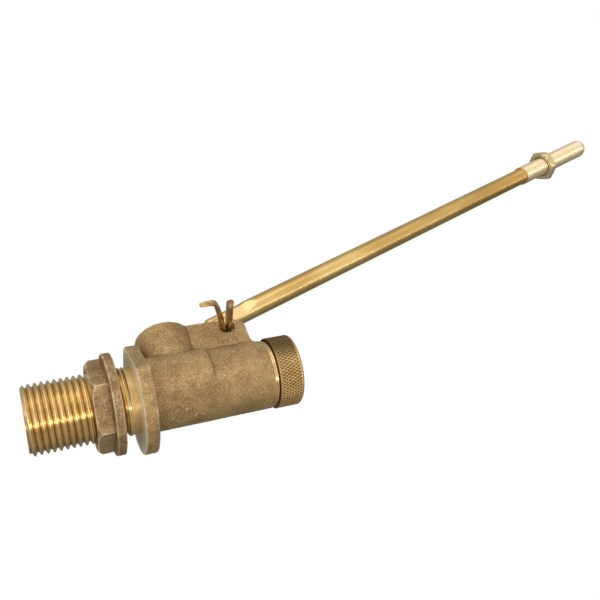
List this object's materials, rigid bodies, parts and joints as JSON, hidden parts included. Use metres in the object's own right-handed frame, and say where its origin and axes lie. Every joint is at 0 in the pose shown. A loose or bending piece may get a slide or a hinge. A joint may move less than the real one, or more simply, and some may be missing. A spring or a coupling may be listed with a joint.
{
  "type": "float valve",
  "caption": "Side-entry piston float valve for a water cistern: threaded inlet shank, flange, back nut, outlet boss, knurled end cap and a float lever on a split-pin pivot.",
  "frame": {"origin": "centre of the flange's face that bears on the tank wall, on the axis of the inlet shank", "axes": "+X along the shank from the inlet to the end cap; +Z towards the lugs, the outlet boss and the lever; +Y towards the split pin's eye. The valve is drawn as pictured: in service it hangs the other way up, with -Z upwards"},
  "size_m": [0.2704, 0.0351, 0.1141],
  "materials": {
    "cast_brass": "matte",
    "cap_brass": "satin",
    "turned_brass": "satin",
    "drawn_brass": "satin",
    "dark_brass": "satin",
    "nylon": "satin",
    "fibre": "matte",
    "black_rubber": "matte"
  },
  "bodies": {
    "valve": {"valve_body": "cast_brass", "seat_nozzle": "nylon", "nozzle_washer": "fibre", "split_pin": "dark_brass"},
    "lever": {"lever_arm": "drawn_brass"},
    "piston": {"piston_body": "turned_brass", "piston_washer": "black_rubber", "piston_washer_cap": "turned_brass"},
    "end_cap": {"end_cap": "cap_brass"},
    "back_nut": {"back_nut": "cast_brass"},
    "float_lock_nut": {"float_lock_nut": "turned_brass"}
  },
  "joints": [
    {"name": "lever_swing", "type": "hinge", "parent": "valve", "child": "lever", "pos_m": [0.03405, 0, 0.018], "axis": [0, -1, 0], "range_deg": [-20, 18]},
    {"name": "piston_slide", "type": "slide", "parent": "valve", "child": "piston", "axis": [1, 0, 0], "range_m": [-0.00531, 0.00477]},
    {"name": "end_cap_unscrew", "type": "slide", "parent": "valve", "child": "end_cap", "axis": [1, 0, 0], "range_m": [0, 0.0053]},
    {"name": "back_nut_travel", "type": "slide", "parent": "valve", "child": "back_nut", "axis": [1, 0, 0], "range_m": [-0.018, 0.0049]},
    {"name": "lock_nut_travel", "type": "slide", "parent": "lever", "child": "float_lock_nut", "axis": [0.9444, 0, 0.3289], "range_m": [-0.0148, 0.027]}
  ],
  "couplings": [
    {"joint": "piston_slide", "follows": "lever_swing", "m_per_rad": 0.0152}
  ]
}
